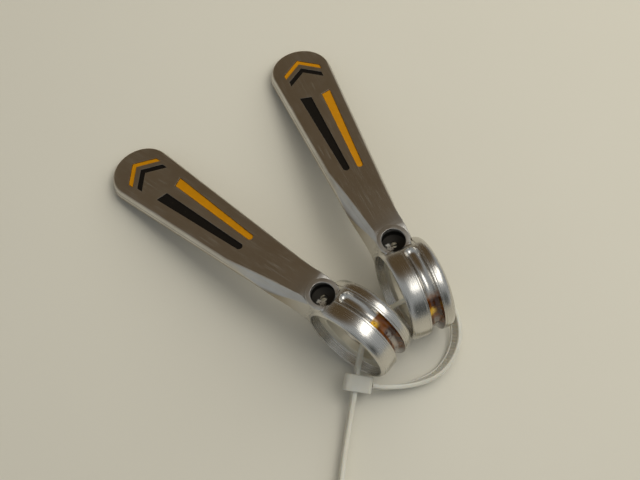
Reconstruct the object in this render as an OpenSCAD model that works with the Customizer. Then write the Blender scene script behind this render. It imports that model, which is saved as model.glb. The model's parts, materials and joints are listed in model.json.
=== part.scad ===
// A pair of bare friction shift levers, strung together on a nylon cable tie.
// Each lever is one forging: a flat paddle, a neck with a nipple seat and a hollow, grooved drum.
// Millimetres. Z is up and the levers lie on Z = 0, drums at the back (-Y) and tips at the front (+Y).
// The two drum axes lie either side of X, and both levers have the same hand.

/* [Drum] */
// Outside radius of the barrel-shaped drum
drum_r = 12.5; // [12.3:0.1:12.7]
// Width of the drum along its own axis
drum_w = 12.2; // [12:0.1:12.4]
// Radius of the recess in the mouth, on the side away from the groove
mouth_r = 11.1; // [10.9:0.1:11.2]
// Depth of the recess in the mouth
mouth_depth = 2.7; // [2.4:0.1:2.8]
// Radius of the hole through the web inside the drum
web_hole_r = 8.2; // [8:0.1:8.4]
// Thickness of the web inside the drum
web_t = 2.4; // [2:0.1:2.6]
// Radius of the recess in the back of the drum
back_r = 10.2; // [9.8:0.1:10.3]
// Width of the cable groove
groove_w = 3.8; // [3.4:0.1:4]
// How far the middle of the groove lies from the middle of the drum, towards the back
groove_x = 0.9; // [0.6:0.1:1]
// Angle above the tip direction at which the groove runs out
groove_end = 78; // [72:1:84]

/* [Paddle] */
// Distance from the drum axis to the paddle's tip
arm_length = 85.4; // [84:0.2:87]
// Radius of the round tip
tip_r = 8.3; // [8:0.1:8.6]
// Half the paddle's width at the neck
neck_half = 5.6; // [5.2:0.1:6]
// Height of the paddle's face over the drum axis
face_h = 11.7; // [11.4:0.1:12]
// Thickness of the paddle
paddle_t = 3.1; // [2.8:0.1:3.4]
// How far the sloping side stands out past the face's edge
side_flare = 0.8; // [0.4:0.1:1]
// Depth of the recesses that hold the enamel
enamel_pocket = 0.5; // [0.4:0.05:0.6]
// Thickness of the enamel in its recess
enamel_t = 0.35; // [0.25:0.05:0.4]

/* [Nipple seat] */
// Radius of the seat's bore
seat_r = 3.1; // [3:0.05:3.2]
// Depth of the seat's bore
seat_depth = 3.2; // [2.8:0.1:3.3]
// Radius of the round boss about the seat
boss_r = 4.7; // [4.4:0.1:4.9]
// Radius of the cable's hole under the seat
cable_hole_r = 0.9; // [0.7:0.1:1]

/* [Pair] */
// Angle of each lever to the Y axis
splay = 14; // [14:0.1:15]
// Distance of each drum's middle from the YZ plane between them
drum_spread = 9; // [8.95:0.05:9.3]

/* [Cable tie] */
// Width of the strap
strap_w = 3.6; // [3.4:0.1:3.6]
// Thickness of the strap
strap_t = 1.2; // [1:0.1:1.3]
// Length of the tie's head along its root strap
head_l = 7; // [6.8:0.1:7.4]
// Size of the tie's head along the strap that passes through it
head_t = 4.4; // [4.2:0.1:4.8]
// Height of the tie's head
head_h = 5.2; // [5:0.1:5.4]

/* [Hidden] */

// The middle of the whole part's box lies over the origin, so the drums sit behind it.
pair_x = 9.3;
pair_y = -17.6;

// Paddle frame: the paddle's centreline starts beside the drum's middle and leans a little to +X.
paddle_x = -2.9;
paddle_lean = 2.8;
neck_y = 24;
tip_y = arm_length - tip_r;

// The lever leans down until the lower edge of its tip meets the table.
tip_drop = face_h - paddle_t;
lower_edge = 0.2;
tip_reach = arm_length + lower_edge;
rest_lean = asin(drum_r / norm([tip_reach, tip_drop])) + atan2(tip_drop, tip_reach);

// Where the nipple seat's axis crosses the drum, and the height of its mouth.
seat_x = -1.4;
seat_y = 8.4;
seat_top = 13;

web_x = -drum_w / 2 + mouth_depth;
groove_tube_r = groove_w / 2;
groove_ring_r = drum_r + 0.4;
groove_start = -14;
// The groove's ball end is a hair larger than the groove.
groove_end_ease = 0.06;
cut = 0.5;

// Stripes in the paddle's frame, as [x, y] of the two corners at the wide end and the middle of the
// round narrow end.
stripe_end_r = 0.95;
yellow_stripe = [[2.2, 65.4], [5.1, 66.2], [2.5, 35.9]];
black_stripe = [[-4.1, 66.3], [-0.8, 65.5], [-1.3, 36.2]];

// Chevrons nest with their points towards the tip, as [y of the point, half-width, limb thickness].
yellow_chevron = [81.6, 5.6, 2];
black_chevron = [77.9, 5, 2];
chevron_x = 0.3;
chevron_rise = 0.8;

// The strap's route, from its root on the head, round on the table, up through the right drum and
// then the left one, through the head's slot and out along the table. Each point is [x, y, z].
strap_route = [
    [-14.3, -12, 4.4], [-12, -14.1, 3.8], [-7.6, -16.6, 2.8], [-2.7, -18.5, 2.2], [2, -19.2, 2],
    [6.5, -18.3, 2.1], [10.4, -16.2, 2.6], [13.2, -13.3, 3.4], [15, -9.8, 4.3], [15.4, -6.4, 5.2],
    [13.8, -3.4, 6.1], [10.3, -1.2, 6.8], [6, 0.3, 7.1], [1.5, 0.9, 7.2], [-3, 0.5, 7.3],
    [-7, -1, 7.3], [-10.8, -3.3, 7.1], [-14.1, -6.1, 6.4], [-17.3, -9.1, 5.2], [-19.9, -11.5, 4],
    [-23.1, -14.4, 2.8], [-27, -18, 2.1], [-31.4, -22.2, 2], [-36, -26.8, 2], [-41, -32, 2],
    [-46, -37.3, 2], [-51, -42.8, 2], [-55.6, -48, 2]
];
rings_per_span = 3;
slot_point = 18;
strap_up = [0, -0.25, 0.97];
strap_corner = 0.25;
tip_taper = 9;

// The head's own frame: X along the root strap, Y along the strap in the slot, Z up.
head_turn = -47;
head_lean = 16.8;
head_roll = 10.6;
slot_side = 2.9;
slot_gap = 0.25;
pawl_t = 1;
pawl_l = 3;
pawl_w = 3.2;
pawl_play = 0.15;
pawl_root_y = head_t / 2 - 0.95;

// Points along a circular arc, from angle a0 to a1 about the centre c.
function arc(c, r, a0, a1, n = 8) =
    [for (i = [0:n]) c + r * [cos(a0 + (a1 - a0) * i / n), sin(a0 + (a1 - a0) * i / n)]];

function unit(v) = v / norm(v);

// A smooth curve through the route's points (Catmull-Rom).
function route_at(p, i, t) =
    let (
        n = len(p) - 1,
        a = i > 0 ? p[i - 1] : 2 * p[0] - p[1],
        b = p[i],
        c = p[i + 1],
        d = i + 2 <= n ? p[i + 2] : 2 * p[n] - p[n - 1]
    )
    0.5 * (2 * b + (c - a) * t + (2 * a - 5 * b + 4 * c - d) * t * t
        + (3 * b - a - 3 * c + d) * t * t * t);

function route_line(p, k) = concat(
    [for (i = [0:len(p) - 2], j = [0:k - 1]) route_at(p, i, j / k)],
    [p[len(p) - 1]]
);

// The strap's section: a flat bar with cut corners, as [across the thickness, across the width].
function strap_section(w, t, c) = [
    [t / 2, -w / 2 + c], [t / 2, w / 2 - c], [t / 2 - c, w / 2], [-t / 2 + c, w / 2],
    [-t / 2, w / 2 - c], [-t / 2, -w / 2 + c], [-t / 2 + c, -w / 2], [t / 2 - c, -w / 2]
];

// Sets a part of the left (-1) or right (+1) lever down where it lies at rest.
module lever_place(side) {
    translate([pair_x + side * drum_spread, pair_y, drum_r])
        rotate([0, 0, -side * splay]) rotate([-rest_lean, 0, 0]) children();
}

module paddle_place() {
    translate([paddle_x, 0, 0]) rotate([0, 0, -paddle_lean]) children();
}

// The drum's outside, a barrel with rounded rims, as a solid of revolution about X.
module drum_blank() {
    rim = 1.2;
    back_rim = 1.6;
    profile = concat(
        [[0, -drum_w / 2]],
        [[mouth_r + 0.4, -drum_w / 2]],
        arc([drum_r - rim, -drum_w / 2 + rim], rim, -75, 0),
        arc([drum_r - back_rim, drum_w / 2 - back_rim], back_rim, 0, 90),
        [[0, drum_w / 2]]
    );
    rotate([0, 90, 0]) rotate_extrude($fn = 96) polygon(profile);
}

// The recesses and the hole through the web, all on the drum's axis.
module drum_bores() {
    rotate([0, 90, 0]) {
        translate([0, 0, -drum_w / 2 - 4]) cylinder(r = mouth_r, h = mouth_depth + 4, $fn = 96);
        translate([0, 0, web_x - cut]) cylinder(r = web_hole_r, h = web_t + 2 * cut, $fn = 96);
        translate([0, 0, web_x + web_t]) cylinder(r = back_r, h = drum_w, $fn = 96);
    }
}

// The groove runs from the cable's hole, under and behind the drum, to its round end on top.
module cable_groove() {
    sweep = 360 - groove_end + groove_start;
    translate([groove_x, 0, 0]) {
        rotate([0, 0, 90]) rotate([90, 0, 0]) rotate([0, 0, groove_end])
            rotate_extrude(angle = sweep, $fn = 96)
                translate([groove_ring_r, 0]) circle(r = groove_tube_r, $fn = 32);
        translate([0, groove_ring_r * cos(groove_end), groove_ring_r * sin(groove_end)])
            rotate([0, 90, 0]) sphere(r = groove_tube_r + groove_end_ease, $fn = 48);
    }
}

// A section of the paddle at height z, grown outwards by the flare.
module paddle_slice(z, grow, y0) {
    slice = 0.02;
    translate([0, tip_y, z]) cylinder(r = tip_r + grow, h = slice, $fn = 64);
    translate([-neck_half - grow, y0, z]) cube([2 * (neck_half + grow), 0.1, slice]);
}

module paddle() {
    slice = 0.02;
    paddle_place() hull() {
        paddle_slice(face_h - slice, 0, neck_y);
        paddle_slice(face_h - paddle_t * 0.75, side_flare, neck_y);
        paddle_slice(face_h - paddle_t, 0.2, neck_y);
    }
}

// The neck carries the paddle's section, a hair smaller, down into the drum.
module neck() {
    sunk = 0.06;
    hull() {
        paddle_place() for (s = [[sunk, 0], [0.75 * paddle_t, side_flare], [paddle_t - sunk, 0.2]])
            translate([sunk - neck_half - s[1], neck_y + 0.6, face_h - s[0] - 0.01])
                cube([2 * (neck_half + s[1] - sunk), 0.2, 0.01]);
        translate([-drum_w / 2 + 0.2, 9.5, -6]) cube([10.4, 0.5, 15.6]);
        translate([-drum_w / 2 - 0.1, 14, 3]) cube([10.4, 0.5, 8.4]);
    }
}

module seat_boss() {
    translate([seat_x, seat_y, 5]) cylinder(r = boss_r, h = seat_top - 5, $fn = 64);
}

// The nipple drops into the seat, and its cable leaves by the slanting hole to the groove.
module seat_bores() {
    translate([seat_x, seat_y, seat_top - seat_depth]) cylinder(r = seat_r, h = seat_depth + 4, $fn = 64);
    from = [seat_x, seat_y, seat_top - seat_depth];
    to = [groove_x, 13.3, -3];
    run = to - from;
    translate(from) rotate([0, acos(run[2] / norm(run)), atan2(run[1], run[0])])
        translate([0, 0, -0.3]) cylinder(r = cable_hole_r, h = norm(run) + 3, $fn = 32);
}

module stripe_outline(s) {
    polygon(concat(
        [s[0]],
        arc(s[2], stripe_end_r, 180, 360, 10),
        [s[1]]
    ));
}

module chevron_outline(c) {
    y = c[0];
    w = c[1];
    t = c[2];
    drop = w * chevron_rise;
    polygon([
        [chevron_x, y], [chevron_x + w, y - drop], [chevron_x + w, y - drop - t], [chevron_x, y - t],
        [chevron_x - w, y - drop - t], [chevron_x - w, y - drop]
    ]);
}

module enamel_outlines() {
    stripe_outline(yellow_stripe);
    stripe_outline(black_stripe);
    chevron_outline(yellow_chevron);
    chevron_outline(black_chevron);
}

module lever() {
    difference() {
        union() {
            drum_blank();
            neck();
            paddle();
            seat_boss();
        }
        drum_bores();
        cable_groove();
        seat_bores();
        paddle_place() translate([0, 0, face_h - enamel_pocket])
            linear_extrude(enamel_pocket + cut) enamel_outlines();
    }
}

// Enamel lies on the floor of its recess, a little below the paddle's face.
module enamel(side) {
    lever_place(side) paddle_place() translate([0, 0, face_h - enamel_pocket])
        linear_extrude(enamel_t) children();
}

module left_lever() { color("silver") lever_place(-1) lever(); }
module left_yellow_stripe() { color("goldenrod") enamel(-1) stripe_outline(yellow_stripe); }
module left_black_stripe() { color("black") enamel(-1) stripe_outline(black_stripe); }
module left_yellow_chevron() { color("goldenrod") enamel(-1) chevron_outline(yellow_chevron); }
module left_black_chevron() { color("black") enamel(-1) chevron_outline(black_chevron); }

module right_lever() { color("silver") lever_place(1) lever(); }
module right_yellow_stripe() { color("goldenrod") enamel(1) stripe_outline(yellow_stripe); }
module right_black_stripe() { color("black") enamel(1) stripe_outline(black_stripe); }
module right_yellow_chevron() { color("goldenrod") enamel(1) chevron_outline(yellow_chevron); }
module right_black_chevron() { color("black") enamel(1) chevron_outline(black_chevron); }

// The tie's head frame, with its origin on the strap where it passes through the slot.
module head_place() {
    translate([pair_x, pair_y, 0]) translate(strap_route[slot_point])
        rotate([0, 0, head_turn]) rotate([head_lean, 0, 0]) rotate([0, head_roll, 0]) children();
}

module tie_head() {
    color("ivory") head_place() difference() {
        translate([-slot_side, -head_t / 2, -head_h / 2]) cube([head_l, head_t, head_h]);
        cube([strap_t + 2 * slot_gap, head_t + 2, strap_w + 2 * slot_gap], center = true);
        translate([strap_t / 2, pawl_root_y + pawl_play - head_t, -pawl_w / 2 - pawl_play])
            cube([pawl_t + 0.9, head_t, pawl_w + 2 * pawl_play]);
    }
}

// The pawl is a tongue beside the slot. Its root is where the strap goes in, and its free end
// bears on the strap's teeth.
module tie_pawl() {
    color("ivory") head_place()
        translate([strap_t / 2 + 0.3, pawl_root_y - pawl_l, -pawl_w / 2]) cube([pawl_t, pawl_l, pawl_w]);
}

// The strap is one swept bar whose last stretch tapers to the tail's tip.
module tie_strap() {
    line = route_line(strap_route, rings_per_span);
    n = len(line);
    tail = [for (i = [0:n - 1]) norm(line[n - 1] - line[i])];
    ring = [for (i = [0:n - 1])
        let (
            along = unit(line[min(i + 1, n - 1)] - line[max(i - 1, 0)]),
            out = unit(cross(along, strap_up)),
            up = cross(out, along),
            w = i > n / 2 && tail[i] < tip_taper ? strap_w * (0.55 + 0.45 * tail[i] / tip_taper) : strap_w
        )
        [for (q = strap_section(w, strap_t, strap_corner)) line[i] + q[0] * out + q[1] * up]];
    points = [for (r = ring, p = r) p];
    k = len(ring[0]);
    sides = [for (i = [0:n - 2], j = [0:k - 1])
        let (a = i * k + j, b = i * k + (j + 1) % k)
        each [[a, b, b + k], [a, b + k, a + k]]];
    start = [[for (j = [k - 1:-1:0]) j]];
    end = [[for (j = [0:k - 1]) (n - 1) * k + j]];
    color("ivory") translate([pair_x, pair_y, 0])
        polyhedron(points, concat(sides, start, end), convexity = 6);
}

left_lever();
left_yellow_stripe();
left_black_stripe();
left_yellow_chevron();
left_black_chevron();
right_lever();
right_yellow_stripe();
right_black_stripe();
right_yellow_chevron();
right_black_chevron();
tie_head();
tie_pawl();
tie_strap();
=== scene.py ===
"""A pair of friction shift levers on a nylon tie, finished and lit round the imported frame."""

import json
import logging
import math
from contextlib import contextmanager
from dataclasses import dataclass, field
from enum import Enum
from typing import Callable, Iterator, Sequence

import bmesh
import bpy
from mathutils import Matrix, Vector


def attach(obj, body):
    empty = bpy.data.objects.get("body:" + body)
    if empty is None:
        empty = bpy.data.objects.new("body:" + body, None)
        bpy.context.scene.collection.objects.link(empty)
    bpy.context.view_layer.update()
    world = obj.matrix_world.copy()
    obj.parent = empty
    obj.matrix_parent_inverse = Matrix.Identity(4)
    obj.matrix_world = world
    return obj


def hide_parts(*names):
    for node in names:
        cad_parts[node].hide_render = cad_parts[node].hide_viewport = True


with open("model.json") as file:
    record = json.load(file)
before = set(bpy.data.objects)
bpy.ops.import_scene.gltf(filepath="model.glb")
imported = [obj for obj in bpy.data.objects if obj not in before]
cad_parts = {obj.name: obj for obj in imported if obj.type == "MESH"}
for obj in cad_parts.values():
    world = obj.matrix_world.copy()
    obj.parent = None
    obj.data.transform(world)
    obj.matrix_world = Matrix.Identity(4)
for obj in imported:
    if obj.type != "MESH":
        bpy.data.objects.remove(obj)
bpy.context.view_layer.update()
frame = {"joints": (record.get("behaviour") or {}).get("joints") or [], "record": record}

log = logging.getLogger("levers")

MM = 0.001
Triple = tuple[float, float, float]
Colour = Triple


class Combine(Enum):
    """How one solid is worked with another."""

    JOIN = "UNION"
    CUT = "DIFFERENCE"


class Pick(Enum):
    """What a selection in edit mode is made of."""

    FACES = "FACE"
    EDGES = "EDGE"


class Side(Enum):
    """Which lever of the pair."""

    LEFT = "left"
    RIGHT = "right"


# Modelling bench


class Bench:
    """Steps of modelling by hand on one mesh at a time, in millimetres."""

    @staticmethod
    def only(obj: bpy.types.Object) -> None:
        """Makes obj the one selected and active object.

        Args:
            obj: The object to work on.
        """
        if bpy.context.object and bpy.context.object.mode != "OBJECT":
            bpy.ops.object.mode_set(mode="OBJECT")
        bpy.ops.object.select_all(action="DESELECT")
        obj.select_set(True)
        bpy.context.view_layer.objects.active = obj

    @staticmethod
    def take(name: str) -> bpy.types.Object:
        """Names the primitive just added and sets its place into its mesh.

        Args:
            name: The name for the object and its mesh.

        Returns:
            The object, at the origin and unturned.
        """
        obj = bpy.context.object
        obj.name = name
        obj.data.name = name
        bpy.context.view_layer.update()
        obj.data.transform(obj.matrix_basis)
        obj.matrix_basis = Matrix.Identity(4)
        return obj

    @staticmethod
    @contextmanager
    def editing(obj: bpy.types.Object) -> Iterator[None]:
        """Holds obj in edit mode with nothing selected at the start.

        Args:
            obj: The mesh object to edit.
        """
        Bench.only(obj)
        bpy.ops.object.mode_set(mode="EDIT")
        bpy.ops.mesh.select_mode(type="VERT")
        bpy.ops.mesh.select_all(action="DESELECT")
        yield
        bpy.ops.object.mode_set(mode="OBJECT")

    @staticmethod
    def pick(obj: bpy.types.Object, what: Pick, test: Callable[[Vector, Vector], bool]) -> int:
        """Selects faces or edges by their place and their normal.

        Args:
            obj: The object being edited.
            what: Whether faces or edges are picked.
            test: Takes the middle and the normal (for an edge, its direction) of each one.

        Returns:
            How many were picked.
        """
        bpy.ops.mesh.select_mode(type=what.value)
        bpy.ops.mesh.select_all(action="DESELECT")
        mesh = bmesh.from_edit_mesh(obj.data)
        found = 0
        if what is Pick.FACES:
            for face in mesh.faces:
                if test(face.calc_center_median(), face.normal):
                    face.select_set(True)
                    found += 1
        else:
            for edge in mesh.edges:
                ends = [vert.co for vert in edge.verts]
                if test((ends[0] + ends[1]) / 2, (ends[1] - ends[0]).normalized()):
                    edge.select_set(True)
                    found += 1
        bmesh.update_edit_mesh(obj.data)
        return found

    @staticmethod
    def apply(obj: bpy.types.Object, kind: str, **settings: object) -> None:
        """Adds a modifier and applies it.

        Args:
            obj: The object to change.
            kind: The modifier's type.
            **settings: The modifier's properties.
        """
        Bench.only(obj)
        modifier = obj.modifiers.new("step", kind)
        for key, value in settings.items():
            setattr(modifier, key, value)
        bpy.ops.object.modifier_apply(modifier=modifier.name)

    @staticmethod
    def combine(obj: bpy.types.Object, tool: bpy.types.Object, how: Combine) -> None:
        """Joins a solid to obj or cuts it away, and removes the tool.

        Args:
            obj: The solid that stays.
            tool: The solid that is used up.
            how: Whether the tool is joined or cut away.
        """
        Bench.outward(obj)
        Bench.outward(tool)
        before = len(obj.data.vertices)
        Bench.apply(obj, "BOOLEAN", operation=how.value, solver="MANIFOLD", object=tool)
        if len(obj.data.vertices) == before:
            Bench.apply(obj, "BOOLEAN", operation=how.value, solver="EXACT", object=tool)
        bpy.data.objects.remove(tool, do_unlink=True)

    @staticmethod
    def outward(obj: bpy.types.Object) -> None:
        """Turns a closed solid right side out if its faces point inwards.

        Args:
            obj: The solid.
        """
        mesh = bmesh.new()
        mesh.from_mesh(obj.data)
        if mesh.calc_volume(signed=True) < 0:
            bmesh.ops.reverse_faces(mesh, faces=mesh.faces[:])
            mesh.to_mesh(obj.data)
        mesh.free()

    @staticmethod
    def lathe(name: str, profile: Sequence[tuple[float, float]], steps: int) -> bpy.types.Object:
        """Turns a closed solid about X by extruding one ring along a profile.

        Args:
            name: The new object's name.
            profile: Pairs of place along X and radius.
            steps: How many corners each ring has.

        Returns:
            The solid, with both ends filled.
        """
        x, r = profile[0]
        bpy.ops.mesh.primitive_circle_add(
            vertices=steps, radius=r, fill_type="NOTHING", location=(x, 0, 0),
            rotation=(0, math.pi / 2, 0))
        obj = Bench.take(name)
        with Bench.editing(obj):
            bpy.ops.mesh.select_all(action="SELECT")
            for nx, nr in profile[1:]:
                bpy.ops.mesh.extrude_region_move(TRANSFORM_OT_translate={"value": (nx - x, 0, 0)})
                bpy.ops.transform.resize(value=(1, nr / r, nr / r), center_override=(nx, 0, 0))
                x, r = nx, nr
            Bench.close()
        return obj

    @staticmethod
    def close() -> None:
        """Fills open rings, merges doubles and turns all faces outwards, in edit mode."""
        bpy.ops.mesh.select_mode(type="VERT")
        bpy.ops.mesh.select_all(action="SELECT")
        bpy.ops.mesh.fill_holes(sides=0)
        bpy.ops.mesh.select_all(action="SELECT")
        bpy.ops.mesh.remove_doubles(threshold=0.001)
        bpy.ops.mesh.normals_make_consistent(inside=False)

    @staticmethod
    def cylinder(
            name: str, radius: float, ends: tuple[Vector, Vector], steps: int = 64,
            far_radius: float | None = None) -> bpy.types.Object:
        """Makes a closed cylinder or cone between two points.

        Args:
            name: The new object's name.
            radius: Radius at the first end.
            ends: The two ends of its axis.
            steps: Corners in each ring.
            far_radius: Radius at the second end, where it differs.

        Returns:
            The solid.
        """
        axis = ends[1] - ends[0]
        bpy.ops.mesh.primitive_cone_add(
            vertices=steps, radius1=radius, radius2=radius if far_radius is None else far_radius,
            depth=axis.length, location=(ends[0] + ends[1]) / 2,
            rotation=axis.to_track_quat("Z", "Y").to_euler())
        return Bench.take(name)

    @staticmethod
    def prism(name: str, outline: Sequence[tuple[float, float]], low: float, high: float) -> bpy.types.Object:
        """Raises a flat outline to a solid.

        Args:
            name: The new object's name.
            outline: The outline's corners in X and Y, anticlockwise from above.
            low: Height of its floor.
            high: Height of its top.

        Returns:
            The solid.
        """
        mesh = bpy.data.meshes.new(name)
        mesh.from_pydata([(x, y, low) for x, y in outline], [], [list(range(len(outline)))])
        obj = bpy.data.objects.new(name, mesh)
        bpy.context.scene.collection.objects.link(obj)
        with Bench.editing(obj):
            bpy.ops.mesh.select_all(action="SELECT")
            bpy.ops.mesh.extrude_region_move(TRANSFORM_OT_translate={"value": (0, 0, high - low)})
            bpy.ops.mesh.select_all(action="SELECT")
            bpy.ops.mesh.normals_make_consistent(inside=False)
        return obj

    @staticmethod
    def smooth(obj: bpy.types.Object, angle: float) -> None:
        """Shades obj smooth, apart from edges sharper than an angle.

        Args:
            obj: The object.
            angle: The angle in degrees.
        """
        Bench.only(obj)
        bpy.ops.object.shade_smooth_by_angle(angle=math.radians(angle))

    @staticmethod
    def twin(obj: bpy.types.Object, name: str) -> bpy.types.Object:
        """Copies obj with its own mesh.

        Args:
            obj: The object to copy.
            name: The copy's name.

        Returns:
            The copy.
        """
        copy = obj.copy()
        copy.data = obj.data.copy()
        copy.name = name
        copy.data.name = name
        bpy.context.scene.collection.objects.link(copy)
        return copy

    @staticmethod
    def settle(obj: bpy.types.Object, place: Matrix) -> None:
        """Sets a finished solid down in the frame, with its place in its mesh.

        Args:
            obj: The solid, in millimetres.
            place: Where it goes, from millimetres to metres.
        """
        obj.data.transform(place)
        obj.data.update()


# Shader bench


@dataclass(frozen=True)
class Wire:
    """A value in a material, on which arithmetic adds Math nodes."""

    tree: bpy.types.NodeTree
    socket: bpy.types.NodeSocket

    def _math(self, operation: str, first: object, second: object = None) -> "Wire":
        """Adds one Math node.

        Args:
            operation: The node's operation.
            first: Its first value, a Wire or a number.
            second: Its second value, if it has one.

        Returns:
            The result.
        """
        node = self.tree.nodes.new("ShaderNodeMath")
        node.operation = operation
        for index, value in enumerate((first, second)):
            if isinstance(value, Wire):
                self.tree.links.new(value.socket, node.inputs[index])
            elif value is not None:
                node.inputs[index].default_value = value
        return Wire(self.tree, node.outputs[0])

    def __add__(self, other: object) -> "Wire":
        """Sum."""
        return self._math("ADD", self, other)

    __radd__ = __add__

    def __sub__(self, other: object) -> "Wire":
        """Difference."""
        return self._math("SUBTRACT", self, other)

    def __rsub__(self, other: object) -> "Wire":
        """Difference the other way."""
        return self._math("SUBTRACT", other, self)

    def __mul__(self, other: object) -> "Wire":
        """Product."""
        return self._math("MULTIPLY", self, other)

    __rmul__ = __mul__

    def __abs__(self) -> "Wire":
        """Size without sign."""
        return self._math("ABSOLUTE", self)

    def root(self) -> "Wire":
        """Square root."""
        return self._math("SQRT", self)

    def angle_to(self, other: "Wire") -> "Wire":
        """Angle of (other, self) about the origin, in radians."""
        return self._math("ARCTAN2", self, other)


class Board:
    """A node tree, with the steps that wire it."""

    def __init__(self, tree: bpy.types.NodeTree) -> None:
        """Starts with the tree empty.

        Args:
            tree: The tree to wire.
        """
        self.tree = tree
        self.tree.nodes.clear()

    def node(self, kind: str, settings: dict[str, object] | None = None,
             values: dict[object, object] | None = None) -> bpy.types.Node:
        """Adds any node.

        Args:
            kind: The node's type.
            settings: Its properties, set first. A ramp's stops go under "stops".
            values: Its sockets' numbers, colours or links, by name or index.

        Returns:
            The node.
        """
        made = self.tree.nodes.new(kind)
        for key, value in (settings or {}).items():
            if key == "stops":
                ramp = made.color_ramp
                while len(ramp.elements) < len(value):
                    ramp.elements.new(0.5)
                for element, (place, colour) in zip(ramp.elements, value):
                    element.position = place
                    element.color = (*colour, 1.0)
            else:
                setattr(made, key, value)
        for key, value in (values or {}).items():
            self.feed(made.inputs[key], value)
        return made

    def feed(self, socket: bpy.types.NodeSocket, value: object) -> None:
        """Links a socket or sets its number or colour.

        Args:
            socket: The socket to feed.
            value: A Wire, an output socket, a number or a tuple.
        """
        if isinstance(value, Wire):
            self.tree.links.new(value.socket, socket)
        elif isinstance(value, bpy.types.NodeSocket):
            self.tree.links.new(value, socket)
        elif socket.type == "RGBA":
            socket.default_value = (*value[:3], 1.0)
        else:
            socket.default_value = value

    def wire(self, socket: bpy.types.NodeSocket) -> Wire:
        """Wraps an output socket."""
        return Wire(self.tree, socket)

    def along(self, vector: object, direction: Vector, origin: Vector) -> Wire:
        """Distance in millimetres along a direction from an origin.

        Args:
            vector: The coordinates, in metres.
            direction: A unit vector.
            origin: Where the distance is nought, in metres.

        Returns:
            The distance.
        """
        dot = self.node("ShaderNodeVectorMath", {"operation": "DOT_PRODUCT"},
                        {0: vector, 1: tuple(direction)})
        return (self.wire(dot.outputs["Value"]) - direction.dot(origin)) * (1 / MM)

    def vector(self, x: object, y: object, z: object) -> bpy.types.NodeSocket:
        """Joins three values to a vector."""
        return self.node("ShaderNodeCombineXYZ", None, {0: x, 1: y, 2: z}).outputs[0]

    def step(self, value: Wire, low: float, high: float) -> Wire:
        """Smooth step.

        Args:
            value: What is stepped.
            low: Where the step is 0.
            high: Where the step is 1, which may be under low.

        Returns:
            A value from 0 to 1.
        """
        swap = high < low
        ends = (high, low) if swap else (low, high)
        made = self.node("ShaderNodeMapRange", {"interpolation_type": "SMOOTHSTEP"},
                         {"Value": value, "From Min": ends[0], "From Max": ends[1]})
        result = self.wire(made.outputs["Result"])
        return 1 - result if swap else result

    def noise(self, vector: object, scale: float, detail: float = 3.0, rough: float = 0.5) -> Wire:
        """Fractal noise from 0 to 1.

        Args:
            vector: The coordinates.
            scale: How fine it is.
            detail: Octaves.
            rough: How strong the fine octaves are.

        Returns:
            The noise.
        """
        made = self.node("ShaderNodeTexNoise", None,
                         {"Vector": vector, "Scale": scale, "Detail": detail, "Roughness": rough})
        return self.wire(made.outputs["Fac"])

    def blend(self, share: object, first: object, second: object) -> bpy.types.NodeSocket:
        """Mixes two colours.

        Args:
            share: How much of the second shows.
            first: A colour or a link.
            second: A colour or a link.

        Returns:
            The mixed colour.
        """
        made = self.node("ShaderNodeMix", {"data_type": "RGBA"}, {0: share, 6: first, 7: second})
        return made.outputs[2]

    def bump(self, height: Wire, depth: float, strength: float = 1.0,
             normal: object = None) -> bpy.types.NodeSocket:
        """Turns a height from 0 to 1 into a normal.

        Args:
            height: The height.
            depth: What a height of 1 stands for, in metres.
            strength: How strong it is.
            normal: A normal to build on.

        Returns:
            The normal.
        """
        made = self.node("ShaderNodeBump", None,
                         {"Height": height, "Distance": depth, "Strength": strength})
        if normal is not None:
            self.feed(made.inputs["Normal"], normal)
        return made.outputs["Normal"]


class Recipe(Board):
    """One material, built round a Principled shader."""

    def __init__(self, name: str) -> None:
        """Starts a material with its shader.

        Args:
            name: The material's name.
        """
        self.material = bpy.data.materials.new(name)
        self.material.use_nodes = True
        super().__init__(self.material.node_tree)
        self.shader = self.node("ShaderNodeBsdfPrincipled")
        self.node("ShaderNodeOutputMaterial", None, {"Surface": self.shader.outputs["BSDF"]})

    def place(self) -> bpy.types.NodeSocket:
        """The piece's own Object coordinates."""
        return self.node("ShaderNodeTexCoord").outputs["Object"]

    def surface(self, **values: object) -> None:
        """Feeds the shader's own sockets.

        Args:
            **values: Socket names, with _ for a space.
        """
        for key, value in values.items():
            self.feed(self.shader.inputs[key.replace("_", " ")], value)

    def dress(self, obj: bpy.types.Object) -> None:
        """Makes this the piece's only material.

        Args:
            obj: The piece.
        """
        obj.data.materials.clear()
        obj.data.materials.append(self.material)


# Finishes


@dataclass(frozen=True)
class Residue:
    """How the residue lies round one lever's cable groove, in degrees over the drum.

    It fades in from start, its middle is worn thin past worn, and a painted golden highlight lies about
    gleam.
    """

    start: float
    fade: float
    worn: float
    thin: float
    gleam: float
    glow: float


@dataclass(frozen=True)
class LeverSpot:
    """Where a point lies on a lever, in its own millimetres and degrees, and how far it is on each part."""

    spot: bpy.types.NodeSocket
    x: Wire
    y: Wire
    z: Wire
    radius: Wire
    turn: Wire
    face: Wire
    drum: Wire
    flank: Wire


@dataclass(frozen=True)
class ToolMarks:
    """What tools and years have left on the metal, each from 0 to 1."""

    brushed: Wire
    scratches: Wire
    turned: Wire
    blotch: Wire
    pits: Wire


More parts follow.
